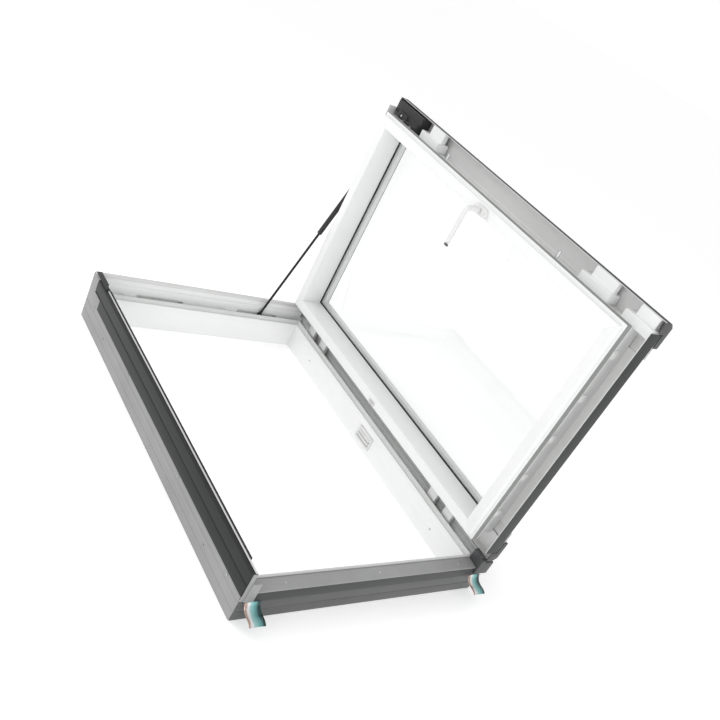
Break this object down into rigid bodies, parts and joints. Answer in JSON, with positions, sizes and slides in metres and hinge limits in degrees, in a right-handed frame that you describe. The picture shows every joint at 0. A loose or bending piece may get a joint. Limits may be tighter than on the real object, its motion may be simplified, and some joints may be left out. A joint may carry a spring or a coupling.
{
  "type": "side-hung roof window",
  "caption": "Roof window standing open: white plastic frame with grey and dark covers, double-glazed side-hung sash, lever handle, locking bar and gas strut.",
  "frame": {"origin": "middle of the fixed frame's underside, in the middle of its opening", "axes": "+X towards the hinge side, +Y up the roof, +Z outdoors; the frame lies flat and the sash stands open at a right angle"},
  "size_m": [0.792, 1.246, 0.915],
  "materials": {
    "white_plastic": "satin",
    "grey_cover": "matte",
    "dark_cover": "satin",
    "black_rubber": "matte",
    "grey_rubber": "matte",
    "steel": "satin",
    "bright_strap": "glossy",
    "black_plastic": "matte",
    "dark_ring": "glossy",
    "grey_plastic": "matte",
    "clear_glass": "polished",
    "spacer_metal": "satin",
    "strut_black": "satin"
  },
  "bodies": {
    "frame": {"frame_top_rail": "white_plastic", "frame_bottom_rail": "white_plastic", "frame_lock_jamb": "white_plastic", "frame_hinge_jamb": "white_plastic", "frame_top_cover": "grey_cover", "lock_side_skirt": "grey_cover", "lock_side_cover": "dark_cover", "bottom_skirt": "dark_cover", "bottom_drip_cover": "grey_cover", "hinge_side_cover": "dark_cover", "lock_side_seal": "black_rubber", "hinge_side_seal": "black_rubber", "inner_seal": "grey_rubber", "stay_rails": "steel", "rail_end_bosses": "white_plastic", "rail_brackets": "steel", "strike_plates": "steel", "centre_catch_frame": "white_plastic", "cover_end_cap_top": "black_plastic", "cover_end_cap_bottom": "grey_cover", "hinge_corner_block": "black_plastic", "hanging_straps": "bright_strap", "frame_screws": "steel", "hinge_frame_leaf_upper": "steel", "hinge_frame_leaf_lower": "steel", "hinge_pins": "steel", "strut_foot_pin": "steel"},
    "sash": {"sash_top_rail": "white_plastic", "sash_bottom_rail": "white_plastic", "sash_free_stile": "white_plastic", "sash_hinge_stile": "white_plastic", "sash_edge_seal": "grey_rubber", "glazing_seal_inner": "black_rubber", "glazing_seal_outer": "black_rubber", "pane_inner": "clear_glass", "spacer_bar": "spacer_metal", "pane_outer": "clear_glass", "sash_top_cover": "dark_cover", "sash_bottom_cover": "dark_cover", "sash_free_cover": "grey_cover", "sash_hinge_cover": "dark_cover", "cover_clips": "white_plastic", "bottom_plugs": "white_plastic", "free_cover_end_cap": "black_plastic", "hinge_cover_end_cap": "black_plastic", "lock_end_block": "black_plastic", "end_block_screws": "steel", "hinge_sash_leaf_upper": "white_plastic", "hinge_sash_leaf_lower": "white_plastic", "centre_catch_sash": "grey_plastic", "lock_case": "steel", "handle_base": "white_plastic", "strut_head_stud": "steel"},
    "handle": {"handle_lever": "white_plastic", "lever_tip": "dark_ring"},
    "lock_bar": {"locking_bar": "steel"},
    "rod": {"strut_rod": "strut_black"},
    "barrel": {"strut_barrel": "strut_black"}
  },
  "joints": [
    {"name": "sash_hinge", "type": "hinge", "parent": "frame", "child": "sash", "pos_m": [0.358, 0.03, 0.161], "axis": [0, -1, 0], "range_deg": [0, 90]},
    {"name": "handle_turn", "type": "hinge", "parent": "sash", "child": "handle", "pos_m": [0.29, 0, 0.843], "axis": [-1, 0, 0], "range_deg": [0, 90]},
    {"name": "lock_slide", "type": "slide", "parent": "sash", "child": "lock_bar", "axis": [0, -1, 0], "range_m": [0, 0.018]},
    {"name": "strut_foot", "type": "hinge", "parent": "frame", "child": "rod", "pos_m": [0.19, 0.5655, 0.099], "axis": [0, -1, 0], "range_deg": [0, 97]},
    {"name": "strut_slide", "type": "slide", "parent": "rod", "child": "barrel", "axis": [-0.2403, 0, -0.9707], "range_m": [0, 0.24583]}
  ],
  "couplings": [
    {"joint": "lock_slide", "follows": "handle_turn", "m_per_rad": 0.011458},
    {"joint": "strut_foot", "follows": "sash_hinge", "ratio": 1.0778},
    {"joint": "strut_slide", "follows": "sash_hinge", "m_per_rad": 0.15649}
  ]
}
